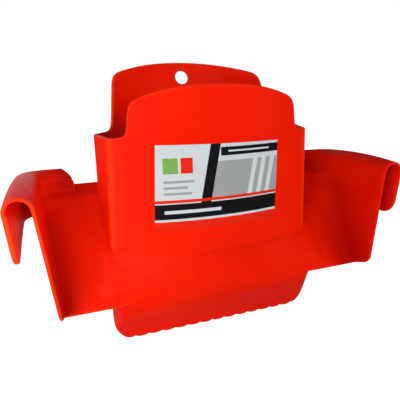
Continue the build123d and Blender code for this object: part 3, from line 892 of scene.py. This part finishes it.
@dataclass
class Wing(Piece):
    """A sloping panel, an upright end plate, and the channel that hooks over the bucket rim.

    Valley radii are at the panel's bottom and top, the ledge and the leg. The ridge has a
    height, a middle in Y and a curve. Columns are those of lip, back, corner and side, steps
    those of panel, leg, crown and skirt. The depth of the nook's painted shade and the rims'
    share of wear and painted highlight are given for the left and the right wing; both differ
    between the wings to paint how the light falls on each.
    """

    side: Side
    pocket: Pocket
    wall: float = 2.2
    thin: tuple = (78.0, 1.6)
    bottom_z: float = -86.3
    bottom_y: float = -21.8
    panel_slope: float = 0.8
    top_z: float = -19.1
    bury: float = 1.3
    slit: tuple = (0.3, 0.28)
    fair_start: tuple = (52.0, -16.0)
    fair_hold: float = 3.0
    fair_climb: tuple = (0.7, 0.03)
    fair_sink: tuple = (0.15, 0.27, 10.0)
    fair_tuck: tuple = (2.0, 9.0, 76.0, 8.0)
    plane_back: tuple = (4.0, 60.0, 20.0)
    belly_back: tuple = (8.0, 80.0, 20.0)
    fillet: tuple = (0.01, 7.0, 12.0)
    fillet_span: tuple = (62.0, 16.0, 86.0, 14.0)
    ledge_back: tuple = (38.2, -15.95)
    lip_back: tuple = (43.8, -12.8)
    lip_end: float = 101.0
    plate_x: float = 126.4
    draft: float = 0.1133
    toe: float = 0.025
    outer_toe: float = 0.0125
    front_top_y: float = -36.2
    front_foot: tuple = (-40.6, -77.8)
    foot_radius: float = 4.5
    valley: tuple = (5.0, 16.0, 12.0, 10.0)
    ridge_top: tuple = (3.6, -14.0, 0.00150)
    leg_back_y: float = 38.0
    leg_z: float = -5.0
    crown: float = 9.0
    crown_rise: float = 7.9
    corner: float = 18.0
    channel_end: tuple = (102.2, 0.45, 0.037)
    end_swing: tuple = (0.25, 0.3)
    # Painted shade standing in for shadow: in the fold between panel and plate, and in the nook
    # between pocket and rim wall.
    fold_reach: tuple = (8.0, 34.0)
    fold_shade_depth: tuple = (0.75, 0.45)
    fold_top: tuple = (4.0, -12.0)
    nook_at: tuple = (106.0, -7.0)
    nook_reach: tuple = (12.0, 12.0)
    nook_back: tuple = (26.0, 12.0)
    nook_shade_depth: tuple = (0.55, 1.0)
    # Rim share of wear and painted highlight, for the left and the right wing; the left's rims are
    # painted paler where light catches them.
    rim_wear_and_highlight: tuple = (1.0, 0.2)
    skirt_wall: float = 2.9
    skirt_lean: tuple = (0.05, 0.075)
    skirt_z: tuple = (-36.6, -40.2)
    toe_radius: float = 10.5
    columns: tuple = (40, 18, 22, 44)
    crowding: float = 1.35
    steps: tuple = (60, 20, 28, 21)

    def __post_init__(self) -> None:
        """Lay out the columns and the height at which each one's crown springs.

        Columns crowd at the back stretch's ends and the plate's front. The springing follows a
        parabola over the depth Y.
        """
        lip, back, turn, side = self.columns
        line = np.linspace(0.0, 1.0, back)
        self.lead = np.hstack([np.linspace(0.0, 1.0, lip), np.zeros(back + turn + side)])
        self.share = np.hstack([
            np.zeros(lip),
            np.sin(line * math.pi / 2) ** 2 * 0.5 + line * 0.5,
            np.linspace(0.0, 1.0, turn + 2)[1:-1],
            1.0 - (1.0 - np.linspace(0.0, 1.0, side)) ** self.crowding,
        ])
        self.kind = np.repeat(list(Stretch), (lip + back, turn, side))
        self.is_lip = np.arange(len(self.kind)) < lip
        self.is_side = self.kind == Stretch.SIDE
        self.is_right = self.side is Side.RIGHT
        _, y = self.corner_plan(self.leg_back_y, self.valley[3], self.leg_z, self.lip_end)
        top, middle, curve = self.ridge_top
        self.spring = top - curve * (y - middle) ** 2 - self.crown_rise

    @property
    def nodes(self) -> tuple:
        """The CAD nodes of this side."""
        parts = ("wing_panel", "wing_lip", "rim_wall", "end_plate", "hook_crown", "hook_skirt")
        return tuple(f"{self.side.value}_{part}" for part in parts)

    def plate_at(self, y: Array, z: Array) -> Array:
        """X of the plate's inner face: drafted with height, toed in with depth."""
        return self.plate_x + self.draft * z - self.toe * (y - self.front_top_y)

    def panel_at(self, z: Array) -> Array:
        """Y of the panel's plane at a height."""
        return self.bottom_y + self.panel_slope * (z - self.bottom_z)

    def fair(self, x: Array, z: Array, start: Array) -> Array:
        """Y of the panel: the nearer of its plane and the belly's curve, with a fillet between.

        Within the reach k of each other the nearer comes forward by (k − distance)² / 4k. Above
        the crease the belly climbs back by a parabola. The first columns start a little under
        its face, and the lowest rows tuck further under it.

        Args:
            x: Places across.
            z: Heights.
            start: Where each row begins.

        Returns:
            Y of each point.
        """
        hold = self.pocket.levels[2] - self.fair_hold
        above = np.maximum(z - hold, 0.0)
        belly = self.pocket.front_at(x, np.minimum(z, hold))
        belly = belly + self.fair_climb[0] * above + self.fair_climb[1] * above**2
        under, lift, run = self.fair_sink
        belly = belly + under - lift * grow(x, start, run)
        depth, height, *span = self.fair_tuck
        belly = belly + depth * grow(z, self.bottom_z + height, -height) * fade(x, *span)
        back, from_x, length = self.belly_back
        belly = belly + back * (np.maximum(x - from_x, 0.0) / length) ** 2
        plane = self.panel_at(z) + self.plane_back[0] * fade(x, *self.plane_back[1:])
        least, size, rise = self.fillet
        reach = size * grow(x, *self.fillet_span[:2]) * fade(x, *self.fillet_span[2:])
        reach = least + reach * grow(z, self.bottom_z, rise)
        near = np.maximum(reach - np.abs(plane - belly), 0.0)
        return np.minimum(plane, belly) - near**2 / (4.0 * reach)

    def corner_plan(
        self, back_y: Array, radius: Array, z: Array, end_x: Array, out: float = 0.0,
        toe: float = 0.0,
    ) -> tuple[Array, Array]:
        """Plan of a right-angled path with a rounded corner, centre + radius × (sin, cos).

        Args:
            back_y: Y of the back stretch.
            radius: Radius of the corner.
            z: Heights, which draft the side.
            end_x: X of the path's inner end.
            out: How far the side stands outside the plate's inner face.
            toe: What the side gives back of the plate's toe-in.

        Returns:
            X and Y.
        """
        foot_y, foot_z = self.front_foot
        front_y = between(self.front_top_y, foot_y, np.clip(z / foot_z, 0.0, 1.0))

        def side_at(y: Array) -> Array:
            """X of the side at a depth."""
            return self.plate_at(y, z) + out + toe * (y - self.front_top_y)

        centre_y = back_y - radius
        centre_x = side_at(centre_y) - radius
        angle = self.share * math.pi / 2.0
        y_side = between(centre_y, front_y, self.share)
        x_corner = centre_x + radius * np.sin(angle)
        y_corner = centre_y + radius * np.cos(angle)
        x_back = between(end_x, centre_x, self.share)
        x = np.choose(self.kind, (x_back, x_corner, side_at(y_side)))
        return x, np.choose(self.kind, (back_y, y_corner, y_side))

    def join(self, x: Array, y: Array, z: Array, start: Array) -> Array:
        """Points with the lip's columns spread from their start to the lip's end in X."""
        lip_x = between(start, self.lip_end, self.lead)
        return stack(np.where(self.is_lip, lip_x, x), y, z)

    def end_at(self, rise: Array) -> Array:
        """X of the channel's inner end: a parabola over the height above its springing."""
        start, slope, curve = self.channel_end
        return start + slope * rise + curve * rise * rise

    def panel_rows(self) -> Array:
        """Rows up the panel and the end plate, which share out the height evenly.

        The bottom edge runs from the panel's foot to the plate's, rounded at its front.

        Returns:
            Points of the rows.
        """
        foot_y, foot_z = self.front_foot
        _, along = self.corner_plan(self.bottom_y, self.valley[0], foot_z, 0.0)
        forward = np.clip((self.bottom_y - along) / (self.bottom_y - foot_y), 0.0, 1.0)
        bottom = between(self.bottom_z, foot_z, forward)
        foot = quarter(self.foot_radius - (along - foot_y), self.foot_radius)
        bottom = bottom + foot * self.is_side
        z = between(bottom, self.top_z, np.linspace(0.0, 1.0, self.steps[0])[:, None])
        level = (z - self.bottom_z) / (self.top_z - self.bottom_z)
        back = self.panel_at(z)
        valley = between(*self.valley[:2], level)
        x, y = self.corner_plan(back, valley, z, self.lip_end + self.slit[0])
        start = self.pocket.side_x(back, z) - self.bury
        from_x, run = self.fair_start
        start = between(start, from_x, grow(z, self.pocket.levels[2], run))
        points = self.join(x, y, z, start)
        points[..., 1] = np.where(self.is_lip, self.fair(points[..., 0], z, start), y)
        return points

    def leg_rows(self) -> Array:
        """Rows over the ledge and up the leg, or for the lip's columns to its free edge.

        Sizes go from panel top over ledge to springing by broken lines with rounded bends.

        Returns:
            Points of the rows.
        """
        leg = shares(self.steps[1])
        knots, reach = (0.0, 0.5, 1.0), (0.2,)
        middle = eased_line(leg, knots, (0.0, 1.0, 0.0), reach)
        last = eased_line(leg, knots, (0.0, 0.0, 1.0), reach)

        def blend(top: float, ledge: float, end: float | Array) -> Array:
            """Value on the way from the panel's top over the ledge to the end."""
            return top * (1.0 - middle - last) + ledge * middle + end * last

        top_y = self.panel_at(self.top_z)
        ledge_y, ledge_z = self.ledge_back
        z = blend(self.top_z, ledge_z, self.spring)
        close = self.lip_end + self.slit[0]
        end = between(close, self.end_at(z - self.spring), grow(leg, *self.end_swing))
        back = blend(top_y, ledge_y, self.leg_back_y)
        x, y = self.corner_plan(back, blend(*self.valley[1:]), z, end)
        lip_y = blend(top_y, ledge_y, self.lip_back[0])
        lip_z = blend(self.top_z, ledge_z, self.lip_back[1])
        start = self.pocket.side_x(lip_y, lip_z) - self.bury
        y, z = np.where(self.is_lip, lip_y, y), np.where(self.is_lip, lip_z, z)
        return self.join(x, y, z, start)

    def crown_rows(self) -> tuple[Array, Array]:
        """Rows over the crown: middle − half span × cos t + crown × sin t, leaning with the draft.

        Returns:
            Points of the rows, and each column's level way outwards.
        """
        arch = np.linspace(0.0, math.pi, self.steps[2] + 1)[1:, None]
        tilt, spring = math.atan(self.draft), self.spring
        drop, width = 2.0 * self.crown * math.sin(tilt), 2.0 * self.crown * math.cos(tilt)
        end = self.end_at(self.crown * np.sin(arch))
        inner_plan = self.corner_plan(self.leg_back_y, self.valley[3], spring, end)
        outer_plan = self.corner_plan(
            self.leg_back_y + width, self.corner, spring, end, width, self.outer_toe
        )
        inner, outer = stack(*inner_plan, spring), stack(*outer_plan, spring - drop)
        outward = unit((outer - inner) * LEVEL)
        way = outward * math.sin(tilt) + UP * math.cos(tilt)
        arch = arch[..., None]
        across = (inner + outer) / 2.0 - (outer - inner) / 2.0 * np.cos(arch)
        return across + way * self.crown * np.sin(arch), outward[-1]

    def skirt_rows(self, edge: Array, outward: Array) -> Array:
        """Rows down the skirt, leaning outwards, with quarter circles at its two toes.

        Args:
            edge: The crown's last row.
            outward: Each column's level way outwards.

        Returns:
            Points of the rows.
        """
        hang = shares(self.steps[3])
        ahead = np.where(self.is_side, self.share, 0.0)
        fall = outward * between(*self.skirt_lean, ahead)[:, None] + UP
        low = between(*self.skirt_z, grow(ahead))
        front_off = edge[:, 1] - self.front_top_y
        end_off = edge[:, 0] - self.channel_end[0]
        low = low + quarter(self.toe_radius - front_off, self.toe_radius) * self.is_side
        at_back = self.kind == Stretch.BACK
        low = low + quarter(self.toe_radius - end_off, self.toe_radius) * at_back
        return edge - fall * ((edge[:, 2] - low) * hang)[..., None]

    def grid(self) -> tuple[Array, Array, Array]:
        """Points of the right wing's face, the quads kept, and the wall at each point.

        Columns run along panel, valley and end plate, rows up the panel, over the ledge, up the
        leg, over the crown and down the skirt. The lip's columns end at its free edge instead,
        where a slit parts them from the hook.

        Returns:
            Points, kept quads and wall thicknesses.
        """
        crown, outward = self.crown_rows()
        skirt = self.skirt_rows(crown[-1], outward)
        points = np.concatenate([self.panel_rows(), self.leg_rows(), crown, skirt])
        kept = np.ones((len(points) - 1, len(self.kind) - 1), bool)
        lip, (panel, leg, _, hang) = self.columns[0], self.steps
        kept[panel + int(self.slit[1] * leg) - 1:, lip - 1] = False
        kept[panel + leg - 1:, :lip] = False
        wall = np.where(points[..., 0] < self.thin[0], self.thin[1], self.wall)
        wall[-hang:] = self.skirt_wall
        return points, kept, wall

    def painted_shade(self, points: Array) -> Array:
        """Painted shade in the wing's two recesses, standing in for shadow, each a bell.

        The fold's is over the distances to plate and panel, weaker towards its top and
        nothing above it. The nook's, between pocket and rim wall, is round its middle.

        Args:
            points: The right wing's points.

        Returns:
            A share of painted shade from 0 to 1 for each point.
        """
        x, y, z = np.moveaxis(points, -1, 0)
        to_plate = (self.plate_at(y, z) - x) / self.fold_reach[0]
        to_panel = (self.panel_at(z) - y) / self.fold_reach[1]
        level = np.clip((z - self.bottom_z) / (self.top_z - self.bottom_z), 0.0, 1.0)
        over, run = self.fold_top
        fold = between(*self.fold_shade_depth, level) * np.exp(-to_plate**2 - to_panel**2)
        fold = fold * grow(z, self.top_z + over, run)
        across = (x - self.nook_at[0]) / self.nook_reach[0]
        upward = (z - self.nook_at[1]) / self.nook_reach[1]
        # The nook's painted shade is deeper on the right wing, where the pocket's shadow falls.
        nook = self.nook_shade_depth[self.is_right] * np.exp(-across**2 - upward**2)
        return np.maximum(fold, nook * grow(y, *self.nook_back))

    def build(self) -> Object:
        """Make the wing, mirrored in X for the left side.

        Returns:
            The wing.
        """
        points, kept, wall = self.grid()
        painted_shade = self.painted_shade(points)
        if not self.is_right:
            points = points[:, ::-1] * np.array([-1.0, 1.0, 1.0])
            kept, wall, painted_shade = kept[:, ::-1], wall[:, ::-1], painted_shade[:, ::-1]
        # Painted shade of fold, nook and crease; a rim tint of wear and painted highlight, set by
        # side.
        sheet = Sheet(points, kept, wall, rim_wear_and_highlight=self.rim_wear_and_highlight[self.is_right])
        sheet.painted_shade = np.maximum(painted_shade, self.pocket.crease(points))
        return sheet.piece(f"{self.side.value}_wing_hook")


@dataclass
class Label(Piece):
    """Paper label bent round the front wall."""

    slot = "label"
    nodes = ("front_label",)
    pocket: Pocket
    design: PrintedLabel
    stand_off: float = 0.45
    thickness: float = 0.3
    turned: float = 0.014
    left_lean: float = 0.032
    columns: int = 64
    rows: int = 20

    def build(self) -> Object:
        """Grid over the label, turned a little, on the front arc moved out along its radius.

        Returns:
            The label.
        """
        left, bottom = self.design.left, self.design.bottom
        x = np.linspace(left, left + self.design.width, self.columns)
        z = np.linspace(bottom, bottom + self.design.height, self.rows)
        flat_x, flat_z = np.meshgrid(x, z)
        far = (x[-1] - flat_x) / self.design.width
        grid_x = flat_x + (self.turned + self.left_lean * far) * (flat_z - z.mean())
        grid_z = flat_z - self.turned * flat_x
        radius = self.pocket.arcs(grid_z)[0]
        angle = np.arcsin(grid_x / radius)
        front_y = self.pocket.at("front_y", grid_z) - self.pocket.at("front_bow", grid_z)
        out = radius + self.stand_off
        points = stack(out * np.sin(angle), front_y + radius - out * np.cos(angle), grid_z)
        return Sheet(points, None, self.thickness, bulge=0.1, steps=2).piece("label_sheet")


@dataclass(frozen=True)
class Lamp:
    """One lamp of the studio, which reflections leave out.

    Lengths are in metres, the power in watts. A beam has a cone in degrees; soft is the
    blurred share of it and the lamp's radius.
    """

    name: str
    at: tuple
    power: float
    size: tuple = (0.5, 0.5)
    aim: tuple = (0.0, 0.0, -0.03)
    kind: LampKind = LampKind.BOX
    cone: float = 3.9
    soft: tuple = (0.6, 0.02)

    def build(self) -> None:
        """Hang the lamp and point it at its aim."""
        data = bpy.data.lights.new(self.name, self.kind.value)
        data.energy = self.power
        if self.kind is LampKind.BOX:
            data.shape = "RECTANGLE"
            data.size, data.size_y = self.size
        else:
            data.spot_size = math.radians(self.cone)
            data.spot_blend, data.shadow_soft_size = self.soft
        made = put(self.name, data)
        made.location = self.at
        towards = Vector(self.aim) - Vector(self.at)
        made.rotation_euler = towards.to_track_quat("-Z", "Y").to_euler()
        made.visible_glossy = False


@dataclass
class Studio:
    """Pale floor, soft lamps and a white surround.

    The glow and the sheen each have two ends and the strength at either one: of the floor's
    own light over the distance, and of the surround's reflection over the direction's X.
    One beam reaches into the left hook's channel, which the soft boxes leave dark.
    """

    floor_z: float = -127.6
    floor_half: float = 3000.0
    floor_points: int = 9
    cloud_scale: float = 3.0
    roughness: float = 0.9
    pale: tuple = ((0.46, 0.46, 0.46, 1.0), (0.50, 0.50, 0.50, 1.0))
    glow: tuple = (0.20, 0.50, 0.87, 1.0)
    lamps: tuple = (
        Lamp("key_lamp", (-0.255, -0.245, 0.0), 1.0, (0.14, 0.40)),
        Lamp("low_lamp", (0.332, -1.239, 0.105), 1.6),
        Lamp("side_lamp", (-0.764, 0.135, 0.164), 1.9, (0.15, 0.3)),
        Lamp("back_lamp", (0.437, 1.2, 0.15), 5.0),
        Lamp("front_lamp", (-0.295, -1.1, 0.576), 3.35),
        Lamp("fill_lamp", (0.864, -0.864, 0.415), 7.2),
        Lamp(
            "hook_lamp", (-0.022, -0.620, -0.100), 40.0,
            aim=(-0.1425, -0.030, -0.021), kind=LampKind.BEAM,
        ),
    )
    ambient: float = 0.02
    sheen: tuple = (0.1, 0.45, 1.0, 0.0)

    def floor(self) -> None:
        """A wide flat grid under the object."""
        step = np.linspace(-self.floor_half, self.floor_half, self.floor_points)
        points = stack(*np.meshgrid(step, step), self.floor_z)
        mesh = bpy.data.meshes.new("studio_floor")
        mesh.from_pydata(points.reshape(-1, 3) * MM, [], Sheet(points).quads())
        made = put("studio_floor", mesh)
        nodes = Nodes(bpy.data.materials.new("pale_floor"))
        where = nodes.add("TexCoord")["Object"]
        nodes.feed("Base Color", nodes.mix(nodes.noise(where, self.cloud_scale), *self.pale))
        nodes.feed("Roughness", self.roughness)
        nodes.feed("Specular IOR Level", 0.0)
        nodes.feed("Emission Color", WHITE)
        off = nodes.add("VectorMath", {0: where}, operation="LENGTH")["Value"]
        seen = nodes.add("LightPath")["Is Camera Ray"]
        glow = nodes.span(off, *self.glow)
        nodes.feed("Emission Strength", nodes.maths("MULTIPLY", seen, glow))
        mesh.materials.append(nodes.owner)

    def surround(self) -> None:
        """White world to the camera and to reflections, dimmer as light on the object."""
        bpy.context.scene.world = bpy.data.worlds.new("surround")
        nodes = Nodes(bpy.context.scene.world)
        path = nodes.add("LightPath")
        towards = nodes.add("SeparateXYZ", {0: nodes.add("TexCoord")["Generated"]})
        side = nodes.span(towards["X"], *self.sheen)
        shine = nodes.maths("MULTIPLY", path["Is Glossy Ray"], side)
        seen = nodes.maths("MAXIMUM", path["Is Camera Ray"], path["Is Transmission Ray"])
        seen = nodes.maths("MAXIMUM", seen, shine)
        nodes.feed("Color", WHITE)
        nodes.feed("Strength", nodes.span(seen, 0.0, 1.0, self.ambient, 1.0))

    def build(self) -> None:
        """Set up floor, lamps and surround."""
        self.floor()
        for lamp in self.lamps:
            lamp.build()
        self.surround()
        bpy.context.scene.view_settings.view_transform = "Standard"


@dataclass
class ViewCamera:
    """Camera at the photograph's place, found from the object's own symmetry."""

    at: tuple = (-0.1113, -0.2717, 0.0678)
    yaw: float = 20.02
    pitch: float = 17.35
    roll: float = -0.21
    lens: float = 36.0
    sensor: float = 36.0
    clip: tuple = (0.01, 50.0)

    def build(self) -> None:
        """Place the camera by its yaw, downward pitch and roll."""
        data = bpy.data.cameras.new("view_camera")
        data.lens, data.sensor_width, data.sensor_fit = self.lens, self.sensor, "HORIZONTAL"
        data.clip_start, data.clip_end = self.clip
        made = put("view_camera", data)
        stand = Matrix.Translation(self.at)
        for angle, axis in ((-self.yaw, "Z"), (90.0 - self.pitch, "X"), (self.roll, "Z")):
            stand = stand @ Matrix.Rotation(math.radians(angle), 4, axis)
        made.matrix_world = stand
        bpy.context.scene.camera = made


def main() -> None:
    """Build the pieces in order, dress them and log each one's face count."""
    logging.basicConfig(level=logging.INFO, format="%(message)s")
    ViewCamera().build()
    Studio().build()
    red, pocket, design = RedMoulding().material(), Pocket(), PrintedLabel()
    wings = [(Wing(side, pocket), red) for side in Side]
    label = Label(pocket, design), design.material()
    for maker, finish in ((pocket, red), (DrainFloor(), red), *wings, label):
        made = maker.build()
        maker.dress(made, finish)
        log.info("%s: %d faces", made.name, len(made.data.polygons))


if __name__ == "__main__":
    main()
